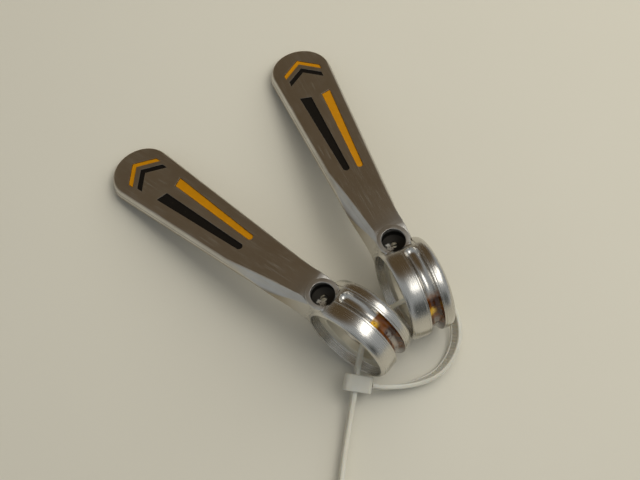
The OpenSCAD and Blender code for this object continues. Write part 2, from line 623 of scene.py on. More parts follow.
@dataclass(frozen=True)
class ForgedAluminium:
    """Satin paddles and polished drums, with amber residue in the cable groove, and with painted reflection,
    highlight and shade in places.
    """

    metal: Colour = (0.72, 0.705, 0.67)
    worn: Colour = (0.50, 0.47, 0.42)
    # Painted reflection: the brown that the paddle faces reflect from the room.
    painted_face_reflection: Colour = (0.46, 0.37, 0.25)
    scratch: Colour = (0.80, 0.78, 0.74)
    grime: Colour = (0.09, 0.075, 0.055)
    # Painted shade for the paddle's lower flank.
    painted_under_shade: Colour = (0.30, 0.245, 0.16)
    parting: Colour = (0.16, 0.15, 0.13)
    amber: Colour = (0.17, 0.050, 0.002)
    umber: Colour = (0.045, 0.012, 0.002)
    # Painted highlight: the bright gold where light gleams through the residue.
    painted_gold_highlight: Colour = (0.80, 0.47, 0.04)
    # Painted shade for the inside of the nipple's seat and cable hole.
    painted_seat_shade: Colour = (0.026, 0.022, 0.017)
    # A pale speckled patch on the seat's floor.
    pale_speck: Colour = (0.92, 0.90, 0.84)
    haze: Colour = (0.74, 0.69, 0.56)
    parting_z: float = 10.35
    # Where the pale speckled patch lies from the seat's middle.
    speck_patch: tuple[float, float] = (-1.35, -0.15)
    relief: float = 0.000024
    edge_round: float = 0.00018

    def locate(self, mix: Recipe, place: Matrix, lever: "LeverForge") -> LeverSpot:
        """Works out where each point lies on the lever.

        Args:
            mix: The material.
            place: The lever's place, from millimetres to metres.
            lever: The lever's sizes.

        Returns:
            The point's place and parts.
        """
        spot = mix.place()
        axes = [place.col[i].to_3d().normalized() for i in range(3)]
        x, y, z = (mix.along(spot, axis, place.translation) for axis in axes)
        radius = (y * y + z * z).root()
        turn = (0 - z).angle_to(0 - y) * (180 / math.pi) + 180
        top, rim = lever.arm.face_h, lever.drum.radius
        face = mix.step(z, top - 0.35, top - 0.12) * mix.step(y, 13, 17)
        drum = mix.step(radius, rim + 0.7, rim + 0.2)
        return LeverSpot(mix.vector(x, y, z), x, y, z, radius, turn, face, drum, (1 - drum) * (1 - face))

    def mark(self, mix: Recipe, at: LeverSpot) -> ToolMarks:
        """Lays brushing along the paddle, turning round the drum, and blotches and pits over all.

        Args:
            mix: The material.
            at: Where the point lies.

        Returns:
            The marks.
        """
        streaks = mix.noise(mix.vector(at.x * 3.1, at.y * 0.045, at.z), 2.3, 2.0, 0.4)
        return ToolMarks(
            brushed=mix.noise(mix.vector(at.x * 2.2, at.y * 0.10, at.z * 2.2), 1.6, 4.0, 0.62),
            scratches=mix.step(streaks, 0.60, 0.72),
            turned=mix.noise(mix.vector(at.x * 3.6, at.turn * 0.02, at.radius * 2.0), 1.2, 4.0, 0.6),
            blotch=mix.noise(at.spot, 0.11, 4.0, 0.6),
            pits=mix.step(mix.noise(at.spot, 1.35, 3.0, 0.7), 0.66, 0.78))

    def skin(self, mix: Recipe, at: LeverSpot, marks: ToolMarks) -> bpy.types.NodeSocket:
        """Colours the bare metal, with a painted brown reflection on the faces, painted shade under the
        paddle and a dark parting line.

        Args:
            mix: The material.
            at: Where the point lies.
            marks: The metal's marks.

        Returns:
            The colour.
        """
        seam = at.flank * mix.step(at.y, 30, 40) * mix.step(abs(at.z - self.parting_z), 0.16, 0.05)
        # Painted shade: the lower flank under the paddle, near the neck, is darkened.
        under = at.flank * mix.step(at.z, 9.95, 9.55) * mix.step(at.y, 12, 20)
        tint = mix.blend(marks.blotch, self.metal, self.worn)
        # Painted reflection: a warm brown on the faces stands in for the brown room that they reflect, varied
        # at random.
        tint = mix.blend(at.face * (0.35 + 0.45 * marks.blotch), tint, self.painted_face_reflection)
        tint = mix.blend(marks.pits * (0.12 + 0.35 * at.flank), tint, self.grime)
        tint = mix.blend(marks.scratches * at.face * 0.25, tint, self.scratch)
        tint = mix.blend(under * 0.75, tint, self.painted_under_shade)
        return mix.blend(seam * 0.6, tint, self.parting)

    def syrup(self, mix: Recipe, at: LeverSpot, drum: "Drum",
              residue: Residue) -> tuple[Wire, bpy.types.NodeSocket]:
        """Runs the residue round the cable groove, with a painted golden highlight in it.

        Args:
            mix: The material.
            at: Where the point lies.
            drum: The drum's sizes.
            residue: How the residue lies on this lever.

        Returns:
            How much of it covers the metal, and its colour.
        """
        across = at.x - drum.groove_x
        bed = drum.groove_ring - drum.groove_r
        band = mix.step(abs(across), drum.groove_r + 0.02, drum.groove_r - 0.10)
        sunk = (mix.step(at.radius, drum.radius - 0.08, drum.radius - 0.20)
                * mix.step(at.radius, bed - 0.25, bed - 0.10))
        ragged = mix.noise(mix.vector(at.x * 0.8, at.y, at.z), 0.85, 3.0, 0.6)
        start = mix.step(at.turn + (ragged - 0.5) * residue.fade, residue.start, residue.start + residue.fade)
        finish = mix.step(at.turn, 318, 300)
        middle = mix.step(abs(across - 0.15), 0.95, 0.25)
        worn = middle * mix.step(at.turn, residue.worn - 9, residue.worn + 9)
        cover = band * sunk * start * finish * (1 - residue.thin * worn * mix.step(ragged, 0.30, 0.55))
        colour = mix.blend(mix.step(mix.noise(at.spot, 0.42, 2.0, 0.5), 0.40, 0.62), self.umber, self.amber)
        # Painted highlight: a bright golden spot about the angle gleam, where light shines through the
        # residue.
        drift = (ragged - 0.5) * 14
        gleam = mix.step(abs(at.turn + drift - residue.gleam), residue.glow, 1.0)
        gleam = gleam * mix.step(across + drift * 0.1, 0.7, -0.7) * mix.step(ragged, 0.30, 0.52)
        return cover, mix.blend(gleam, colour, self.painted_gold_highlight)

    def nest(self, mix: Recipe, at: LeverSpot, lever: "LeverForge",
             tint: bpy.types.NodeSocket) -> tuple[Wire, bpy.types.NodeSocket]:
        """Paints shade into the nipple's seat and its cable hole, with a pale speckled patch on the seat's
        floor.

        Args:
            mix: The material.
            at: Where the point lies.
            lever: The lever's sizes.
            tint: The colour so far.

        Returns:
            How far the point is in the seat, and the new colour.
        """
        out_x, out_y = at.x - lever.seat.x, at.y - lever.seat.y
        away = (out_x * out_x + out_y * out_y).root()
        mouth, rim, bore = lever.drum.mouth_r, lever.drum.radius, lever.seat.bore_r
        # Painted shade: the seat's bore and the cable hole beneath it are darkened.
        wall = mix.step(at.radius, mouth + 0.05, mouth + 0.15) * mix.step(at.radius, rim - 0.08, rim - 0.14)
        depth = 1 - (1 - mix.step(at.z, 8.4, 8.6)) * (1 - wall * mix.step(at.z, 4.5, 5.0))
        dark = mix.step(away, bore + 0.16, bore + 0.02) * mix.step(at.z, 11.9, 11.0) * depth
        # A pale speckled patch towards -X on the seat's floor.
        patch_x, patch_y = out_x - self.speck_patch[0], out_y - self.speck_patch[1]
        speck_patch = (patch_x * patch_x + patch_y * patch_y * 0.6).root()
        specks = mix.step(mix.noise(at.spot, 1.9, 3.0, 0.7), 0.40, 0.52)
        specks = specks * mix.step(speck_patch, 1.25, 0.75) * mix.step(at.z, 10.9, 10.3)
        tint = mix.blend(dark * 0.96, tint, self.painted_seat_shade)
        return dark, mix.blend(dark * specks, tint, self.pale_speck)

    def make(self, side: Side, place: Matrix, lever: "LeverForge", residue: Residue) -> Recipe:
        """Builds the finish for one lever.

        Args:
            side: Which lever.
            place: The lever's place, from millimetres to metres.
            lever: The lever's sizes.
            residue: How the cable groove's residue lies.

        Returns:
            The material's recipe.
        """
        mix = Recipe(f"forged_aluminium_{side.value}")
        at = self.locate(mix, place, lever)
        marks = self.mark(mix, at)
        stain, syrup = self.syrup(mix, at, lever.drum, residue)
        tint = mix.blend(stain, self.skin(mix, at, marks), syrup)
        seat, tint = self.nest(mix, at, lever, tint)
        mouth = lever.drum.mouth_r
        web = mix.step(at.radius, mouth - 0.05, mouth - 0.15) * mix.step(at.x, -0.9, -1.1)
        tint = mix.blend(web * 0.8, tint, self.haze)

        rough = 0.22 + 0.16 * at.face + 0.12 * at.flank + 0.10 * (marks.brushed - 0.5) * (1 - at.drum)
        rough = rough + 0.16 * (marks.turned - 0.5) * at.drum + 0.08 * marks.blotch + 0.18 * marks.pits
        rough = rough * (1 - stain) + 0.16 * stain + 0.22 * web + 0.2 * seat
        lay = marks.brushed * (0.30 + 0.70 * at.face) * (1 - at.drum) + marks.turned * at.drum * 1.1
        height = lay + 0.8 * marks.scratches * at.face - 0.8 * marks.pits
        soft = mix.node("ShaderNodeBevel", {"samples": 4}, {"Radius": self.edge_round}).outputs[0]
        mix.surface(Base_Color=tint, Roughness=rough, Metallic=1 - stain - 0.5 * web,
                    Coat_Weight=stain * 0.4, Normal=mix.bump(height, self.relief, 1.0, soft))
        mix.surface(Coat_Roughness=0.08)
        return mix


@dataclass(frozen=True)
class Enamel:
    """Glossy enamel that pools in a recess, darker at its edges with painted shade and some dirt along the
    recess wall, and with small chips.
    """

    name: str
    body: Colour
    # A darker tone: mixed in at random through the body, and at the edges as painted shade with some dirt.
    deep: Colour
    speck: Colour

    def make(self) -> Recipe:
        """Builds the finish.

        Returns:
            The material's recipe.
        """
        mix = Recipe(self.name)
        spot = mix.place()
        rim = mix.node("ShaderNodeAttribute", {"attribute_name": "pool"}).outputs["Fac"]
        grain = mix.noise(spot, 1500, 3.0, 0.6)
        cloud = mix.noise(spot, 420, 3.0, 0.6)
        # Painted shade, with some dirt: the enamel is darkened where it climbs the recess wall.
        edge = mix.step(mix.wire(rim) + (grain - 0.5) * 0.7, 0.35, 0.85)
        tint = mix.blend(cloud, self.body, tuple(0.72 * a + 0.28 * b for a, b in zip(self.body, self.deep)))
        tint = mix.blend(edge, tint, self.deep)
        chips = mix.step(mix.noise(spot, 2300, 2.0, 0.5), 0.70, 0.76)
        tint = mix.blend(chips * 0.5, tint, self.speck)
        mix.surface(Base_Color=tint, Roughness=0.22 + 0.25 * grain, Metallic=0.0,
                    Normal=mix.bump(cloud + 0.4 * grain, 0.00005, 0.8))
        mix.surface(Coat_Weight=0.06, Coat_Roughness=0.12, Specular_IOR_Level=0.18)
        return mix


@dataclass(frozen=True)
class NaturalNylon:
    """Uncoloured nylon, a little clear, with a satin skin."""

    body: Colour = (0.66, 0.65, 0.59)
    shade: Colour = (0.56, 0.54, 0.47)

    def make(self) -> Recipe:
        """Builds the finish.

        Returns:
            The material's recipe.
        """
        mix = Recipe("natural_nylon")
        spot = mix.place()
        flow = mix.noise(spot, 260, 3.0, 0.55)
        skin = mix.noise(spot, 2600, 3.0, 0.6)
        mix.surface(Base_Color=mix.blend(flow, self.body, self.shade), Roughness=0.32 + 0.16 * skin,
                    Normal=mix.bump(skin * 0.6 + flow, 0.00003, 0.7))
        mix.surface(Subsurface_Weight=0.45, Subsurface_Radius=(1.0, 0.8, 0.55), Subsurface_Scale=0.0022,
                    IOR=1.53)
        return mix


# The lever


@dataclass
class Drum:
    """The hollow drum, turned about X, with its cable groove."""

    radius: float = 12.5
    width: float = 12.2
    mouth_r: float = 11.1
    mouth_depth: float = 2.7
    web_hole_r: float = 8.2
    web_t: float = 2.4
    back_r: float = 10.2
    groove_x: float = 0.9
    groove_r: float = 1.9
    groove_ring: float = 12.9
    groove_top: float = 78.0
    groove_low: float = -14.0
    front_round: tuple[float, float] = (2.7, 1.02)
    back_round: tuple[float, float] = (1.9, 1.55)
    line_depth: float = 0.09
    steps: int = 144

    def blank(self) -> bpy.types.Object:
        """Turns the outside, with soft rims and a fine line beside the groove on each side.

        Returns:
            The solid drum.
        """
        half = self.width / 2
        (front_x, front_r), (back_x, back_r) = self.front_round, self.back_round
        turns = [math.radians(degrees) for degrees in range(0, 91, 9)]
        front = [(-half + front_x * (1 - math.cos(a)), self.radius - front_r * (1 - math.sin(a)))
                 for a in turns]
        back = [(half - back_x * (1 - math.sin(a)), self.radius - back_r * (1 - math.cos(a))) for a in turns]
        left = self.groove_x - self.groove_r
        right = self.groove_x + self.groove_r
        low, lip = self.radius - self.line_depth, self.radius - 0.02
        lines = [(left - 0.56, self.radius), (left - 0.49, low), (left - 0.41, low), (left - 0.34, lip),
                 (right + 0.30, lip), (right + 0.37, low), (right + 0.45, low), (right + 0.52, self.radius)]
        profile = [(-half, self.mouth_r + 0.3), *front, *lines, *back]
        return Bench.lathe("drum", profile, self.steps)

    def bores(self) -> bpy.types.Object:
        """Turns the tool that hollows the drum, with eased edges at the mouth, web and back.

        Returns:
            The solid to cut away.
        """
        half = self.width / 2
        web = -half + self.mouth_depth
        end = web + self.web_t
        profile = [
            (-half - 3, self.mouth_r + 0.30), (-half, self.mouth_r + 0.22),
            (-half + 0.12, self.mouth_r + 0.06), (-half + 0.35, self.mouth_r),
            (web - 0.35, self.mouth_r), (web - 0.10, self.mouth_r - 0.10),
            (web, self.mouth_r - 0.36), (web, self.web_hole_r + 0.25), (web + 0.22, self.web_hole_r),
            (end - 0.2, self.web_hole_r), (end, self.web_hole_r + 0.2), (end, self.back_r - 0.5),
            (end + 0.14, self.back_r - 0.14), (end + 0.5, self.back_r), (half - 0.45, self.back_r),
            (half - 0.1, self.back_r + 0.16), (half, self.back_r + 0.40), (half + 3, self.back_r + 0.5)]
        return Bench.lathe("drum_bores", profile, self.steps)

    def groove(self) -> bpy.types.Object:
        """Makes the tool that cuts the groove, round at its upper end.

        Returns:
            The solid to cut away.
        """
        tube, ring = self.groove_r, self.groove_ring
        bpy.ops.mesh.primitive_torus_add(
            major_segments=180, minor_segments=32, major_radius=ring, minor_radius=tube,
            location=(self.groove_x, 0, 0), rotation=(0, math.pi / 2, 0))
        obj = Bench.take("groove_tool")

        def lost(middle: Vector, _: Vector) -> bool:
            """Whether a face lies where the groove has run out."""
            angle = math.degrees(math.atan2(middle.z, middle.y))
            return self.groove_low < angle < self.groove_top

        top = math.radians(self.groove_top)
        middle = Vector((self.groove_x, ring * math.cos(top), ring * math.sin(top)))
        ahead = Vector((0, math.sin(top), -math.cos(top)))
        with Bench.editing(obj):
            Bench.pick(obj, Pick.FACES, lost)
            bpy.ops.mesh.delete(type="FACE")
            Bench.pick(obj, Pick.EDGES, lambda m, d: (m - middle).length < tube + 0.05
                       and abs((m - middle).dot(ahead)) < 0.02 and abs(d.dot(ahead)) < 0.1)
            last = 0.0
            for degrees in (15, 30, 45, 60, 72, 82, 88):
                now = math.radians(degrees)
                move = ahead * tube * (math.sin(now) - math.sin(last))
                bpy.ops.mesh.extrude_region_move(TRANSFORM_OT_translate={"value": move})
                middle = middle + move
                ratio = math.cos(now) / math.cos(last)
                bpy.ops.transform.resize(value=(ratio, ratio, ratio), center_override=middle)
                last = now
            bpy.ops.mesh.edge_face_add()
            Bench.close()
        return obj


@dataclass
class Arm:
    """The paddle with its flared sides, and the neck that carries it to the drum."""

    face_h: float = 11.7
    paddle_t: float = 3.1
    tip_r: float = 8.3
    tip_y: float = 77.1
    neck_half: float = 5.6
    neck_y: float = 24.0
    flare: float = 0.8
    shift: float = -2.9
    lean: float = 2.8
    stations: int = 16

    def seat_matrix(self) -> Matrix:
        """The paddle's own frame in the lever's."""
        return Matrix.Translation((self.shift, 0, 0)) @ Matrix.Rotation(math.radians(-self.lean), 4, "Z")

    def paddle(self) -> bpy.types.Object:
        """Makes the paddle as a plate, widest three quarters of the way down its side.

        Returns:
            The paddle, ending flat at the neck.
        """
        wide = self.tip_r + self.flare
        root = self.neck_y - 4
        narrow = self.neck_half + self.flare - 0.15
        arc = [(wide * math.cos(math.radians(a)), self.tip_y + wide * math.sin(math.radians(a)))
               for a in range(0, 181, 5)]
        level = self.face_h - 0.75 * self.paddle_t
        obj = Bench.prism("arm", [*arc, (-narrow, root), (narrow, root)], level - 0.06, level + 0.06)
        with Bench.editing(obj):
            Bench.pick(obj, Pick.FACES, lambda m, n: n.z > 0.9)
            bpy.ops.mesh.inset(thickness=self.flare, depth=self.face_h - level - 0.06)
            Bench.pick(obj, Pick.FACES, lambda m, n: n.z < -0.9)
            bpy.ops.mesh.inset(thickness=0.6, depth=level - 0.06 - self.face_h + self.paddle_t)
            Bench.pick(obj, Pick.EDGES, lambda m, d: m.z > self.face_h - 0.01 and abs(d.z) < 0.01)
            bpy.ops.mesh.bevel(offset=0.38, segments=4, affect="EDGES")
            Bench.pick(obj, Pick.EDGES, lambda m, d: abs(m.z - level) < 0.08 and abs(d.z) < 0.01)
            bpy.ops.mesh.bevel(offset=0.045, segments=2, affect="EDGES")
        obj.data.transform(self.seat_matrix())
        with Bench.editing(obj):
            bpy.ops.mesh.select_all(action="SELECT")
            bpy.ops.mesh.bisect(plane_co=(0, self.neck_y, 0), plane_no=(0, 1, 0),
                                use_fill=True, clear_inner=True)
        return obj

    def neck(self, obj: bpy.types.Object) -> None:
        """Draws the paddle's end on into the drum, deeper and a little narrower at each step.

        Args:
            obj: The paddle.
        """
        def ease(value: float) -> float:
            """Smooth step from 0 to 1."""
            value = min(max(value, 0.0), 1.0)
            return value * value * (3 - 2 * value)

        def station(share: float) -> tuple[float, float, float, float, float]:
            """Works out one section of the neck.

            Args:
                share: How far along the neck it is, from 0 at the paddle to 1.

            Returns:
                The section's middle x, its y, top, depth and half-width.
            """
            y = self.neck_y - share * 16.4
            x0 = self.shift + y * math.sin(math.radians(self.lean))
            mid = x0 + ease(share * 1.15) * (-0.85 - x0)
            top = self.face_h - 0.25 * ease(share * 1.6) - 1.9 * ease((share - 0.62) / 0.38)
            depth = self.paddle_t + 4.6 * ease(share / 0.72) + 8.6 * max(0.0, (share - 0.30) / 0.70) ** 1.7
            return mid, y, top, depth, self.neck_half + 0.65 - 1.1 * ease(share * 1.3)

        with Bench.editing(obj):
            Bench.pick(obj, Pick.FACES, lambda m, n: n.y < -0.9 and abs(m.y - self.neck_y) < 0.01)
            last = station(0.0)
            for index in range(1, self.stations + 1):
                now = station(index / self.stations)
                move = (now[0] - last[0], now[1] - last[1], now[2] - last[2])
                bpy.ops.mesh.extrude_region_move(TRANSFORM_OT_translate={"value": move})
                bpy.ops.transform.resize(value=(now[4] / last[4], 1, now[3] / last[3]),
                                         center_override=(now[0], now[1], now[2]))
                last = now
            bpy.ops.mesh.select_all(action="SELECT")
            bpy.ops.mesh.normals_make_consistent(inside=False)

    def scoop(self) -> bpy.types.Object:
        """Makes the tool that hollows the edge on the mouth's side, deeper towards the neck.

        Returns:
            The solid to cut away.
        """
        far = Vector((-13.0, 38, 17.36))
        near = Vector((-10.8, 12, 16.3))
        run = (near - far) / (far.y - near.y)
        return Bench.cylinder("scoop_tool", 8.0, (far - run * 8, near + run * 9), 96)


@dataclass
class NippleSeat:
    """The round boss that takes the cable's nipple."""

    x: float = -1.4
    y: float = 8.4
    top: float = 11.75
    floor: float = 9.8
    bore_r: float = 3.1
    boss_r: float = 4.35
    tilt: float = 13.0
    cable_r: float = 0.9

    def boss(self) -> bpy.types.Object:
        """Makes the boss, whose top leans back towards the drum.

        Returns:
            The solid boss.
        """
        foot = Vector((self.x, self.y, 4))
        obj = Bench.cylinder("boss", self.boss_r, (foot, foot + Vector((0, 0, 12))), 72)
        lean = math.radians(self.tilt)
        with Bench.editing(obj):
            bpy.ops.mesh.select_all(action="SELECT")
            bpy.ops.mesh.bisect(plane_co=(self.x, self.y, self.top),
                                plane_no=(0, -math.sin(lean), math.cos(lean)),
                                use_fill=True, clear_outer=True)
            Bench.pick(obj, Pick.FACES, lambda m, n: n.z > 0.8)
            bpy.ops.mesh.bevel(offset=0.26, segments=3, affect="EDGES")
        return obj

    def bore(self) -> bpy.types.Object:
        """Makes the tool that drills the seat, with a shallow cone for its floor.

        Returns:
            The solid to cut away.
        """
        foot = Vector((self.x, self.y, self.floor))
        obj = Bench.cylinder("seat_tool", self.bore_r, (foot, foot + Vector((0, 0, 7))), 72)
        with Bench.editing(obj):
            Bench.pick(obj, Pick.FACES, lambda m, n: n.z < -0.9)
            bpy.ops.mesh.inset(thickness=0.35, depth=0.12)
            bpy.ops.mesh.inset(thickness=1.9, depth=0.55)
        return obj

    def rim(self) -> bpy.types.Object:
        """Makes the tool that eases the seat's edge.

        Returns:
            The solid to cut away.
        """
        lean = math.radians(self.tilt)
        up = Vector((0, -math.sin(lean), math.cos(lean)))
        foot = Vector((self.x, self.y, self.top))
        return Bench.cylinder("rim_tool", self.bore_r - 0.12, (foot - up * 0.22, foot + up * 0.5), 72,
                              self.bore_r + 0.60)

    def cable_hole(self) -> bpy.types.Object:
        """Makes the tool for the slanting hole from the seat to the groove.

        Returns:
            The solid to cut away.
        """
        start = Vector((self.x, self.y, self.floor + 0.2))
        aim = Vector((0.9, 13.3, -3.0))
        return Bench.cylinder("cable_tool", self.cable_r, (start, aim + (aim - start).normalized() * 3), 32)


@dataclass
class Inlay:
    """The enamelled stripes and chevrons let into the paddle's face."""

    face_h: float = 11.7
    pocket: float = 0.5
    thick: float = 0.35
    end_r: float = 0.95
    chevron_x: float = 0.3
    rise: float = 0.8
    climb: tuple[tuple[float, float], ...] = ((0.26, -0.07), (0.20, -0.03), (0.16, 0.0))
    stripes: dict[str, tuple[tuple[float, float], ...]] = field(default_factory=lambda: {
        "yellow_stripe": ((2.2, 65.4), (5.1, 66.2), (2.5, 35.9)),
        "black_stripe": ((-4.1, 66.3), (-0.8, 65.5), (-1.3, 36.2))})
    chevrons: dict[str, tuple[float, float, float]] = field(default_factory=lambda: {
        "yellow_chevron": (81.6, 5.6, 2.0), "black_chevron": (77.9, 5.0, 2.0)})

    def outlines(self) -> dict[str, list[tuple[float, float]]]:
        """Draws each recess's outline in the paddle's frame, anticlockwise.

        Returns:
            Corners by the enamel's name.
        """
        drawn: dict[str, list[tuple[float, float]]] = {}
        for name, (wide_a, wide_b, end) in self.stripes.items():
            turns = [math.radians(degrees) for degrees in range(180, 361, 15)]
            arc = [(end[0] + self.end_r * math.cos(a), end[1] + self.end_r * math.sin(a)) for a in turns]
            drawn[name] = [wide_a, *arc, wide_b]
        for name, (tip, half, limb) in self.chevrons.items():
            drop = half * self.rise
            cx = self.chevron_x
            drawn[name] = [
                (cx, tip), (cx - half, tip - drop), (cx - half, tip - drop - limb),
                (cx, tip - limb), (cx + half, tip - drop - limb), (cx + half, tip - drop)]
        return drawn

    def recess(self, name: str) -> bpy.types.Object:
        """Makes the tool that sinks one recess.

        Args:
            name: The enamel's name.

        Returns:
            The solid to cut away, in the paddle's frame.
        """
        return Bench.prism("recess_tool", self.outlines()[name], self.face_h - self.pocket, self.face_h + 1)

    def fill(self, name: str) -> bpy.types.Object:
        """Pours the enamel of one recess, which climbs a little up the recess's wall.

        Args:
            name: The enamel's name.

        Returns:
            The enamel, in the paddle's frame.
        """
        low = self.face_h - self.pocket
        obj = Bench.prism(name, self.outlines()[name], low, low + self.thick)
        with Bench.editing(obj):
            Bench.pick(obj, Pick.FACES, lambda m, n: n.z > 0.9)
            for thickness, depth in self.climb:
                bpy.ops.mesh.inset(thickness=thickness, depth=depth)
        foot = low + self.thick - 0.105
        pool = obj.data.attributes.new("pool", "FLOAT", "POINT")
        for index, vert in enumerate(obj.data.vertices):
            pool.data[index].value = min(1.0, max(0.0, (vert.co.z - foot) / 0.09))
        return obj


class LeverForge:
    """Makes one bare lever in its own frame, in millimetres, with X as its drum's axis."""

    def __init__(self) -> None:
        """Sets out the lever's sub-assemblies."""
        self.drum = Drum()
        self.arm = Arm()
        self.seat = NippleSeat()
        self.inlay = Inlay()

    def forge(self) -> bpy.types.Object:
        """Joins and cuts the whole lever.

        Returns:
            The lever as one solid.
        """
        lever = self.arm.paddle()
        self.arm.neck(lever)
        Bench.combine(lever, self.arm.scoop(), Combine.CUT)
        Bench.combine(lever, self.drum.blank(), Combine.JOIN)
        Bench.combine(lever, self.seat.boss(), Combine.JOIN)
        Bench.combine(lever, self.drum.bores(), Combine.CUT)
        Bench.combine(lever, self.drum.groove(), Combine.CUT)
        Bench.combine(lever, self.seat.bore(), Combine.CUT)
        Bench.combine(lever, self.seat.rim(), Combine.CUT)
        Bench.combine(lever, self.seat.cable_hole(), Combine.CUT)
        for name in self.inlay.outlines():
            tool = self.inlay.recess(name)
            tool.data.transform(self.arm.seat_matrix())
            Bench.combine(lever, tool, Combine.CUT)
        with Bench.editing(lever):
            bpy.ops.mesh.select_all(action="SELECT")
            bpy.ops.mesh.remove_doubles(threshold=0.002)
            bpy.ops.mesh.dissolve_degenerate(threshold=0.001)
        Bench.smooth(lever, 32)
        return lever


@dataclass
class LeverPair:
    """Both levers with their enamel, set down on their joints."""

    forge: LeverForge = field(default_factory=LeverForge)
    metal: ForgedAluminium = field(default_factory=ForgedAluminium)
    yellow: Enamel = Enamel("yellow_enamel", (0.60, 0.25, 0.002), (0.050, 0.021, 0.003), (0.75, 0.5, 0.1))
    black: Enamel = Enamel("black_enamel", (0.008, 0.007, 0.006), (0.004, 0.003, 0.003), (0.07, 0.06, 0.045))
    residue: dict[Side, Residue] = field(default_factory=lambda: {
        Side.LEFT: Residue(start=119, fade=3, worn=145, thin=0.6, gleam=125, glow=9),
        Side.RIGHT: Residue(start=130, fade=16, worn=178, thin=0.7, gleam=162, glow=9)})

    @staticmethod
    def place(side: Side) -> Matrix:
        """Reads one lever's frame from its joint and its seat.

        Args:
            side: Which lever.

        Returns:
            The matrix from the lever's millimetres to the frame's metres.
        """
        joint = next(j for j in frame["joints"] if j["name"] == f"{side.value}_lever_swing")
        mount = next(m for m in frame["record"]["mounts"] if m["name"] == f"{side.value}_nipple_seat")
        axis = Vector(joint["axis"]).normalized()
        up = Vector(mount["axis"]).normalized()
        ahead = up.cross(axis).normalized()
        up = axis.cross(ahead)
        turn = Matrix((axis, ahead, up)).transposed().to_4x4()
        return Matrix.Translation(Vector(joint["pos_m"])) @ turn @ Matrix.Scale(MM, 4)

    def report(self, piece: bpy.types.Object, side: Side, node: str) -> None:
        """Puts one piece on its lever's body and logs it.

        Args:
            piece: The finished piece.
            side: Which lever it rides with.
            node: The CAD node that it stands for, without the side.
        """
        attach(piece, side.value)
        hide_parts(f"{side.value}_{node}")
        log.info("%s: %d faces", piece.name, len(piece.data.polygons))

    def build(self) -> None:
        """Builds both levers and their enamel."""
        master = self.forge.forge()
        inks = {"yellow": self.yellow.make(), "black": self.black.make()}
        for side in Side:
            matrix = self.place(side)
            lever = Bench.twin(master, f"{side.value}_forging")
            Bench.settle(lever, matrix)
            self.metal.make(side, matrix, self.forge, self.residue[side]).dress(lever)
            self.report(lever, side, "lever")
            for enamel in self.forge.inlay.outlines():
                colour = enamel.split("_")[0]
                pool = self.forge.inlay.fill(enamel)
                pool.name = f"{side.value}_{enamel}_pool"
                Bench.settle(pool, matrix @ self.forge.arm.seat_matrix())
                Bench.smooth(pool, 60)
                inks[colour].dress(pool)
                self.report(pool, side, enamel)
        bpy.data.objects.remove(master, do_unlink=True)


# The tie


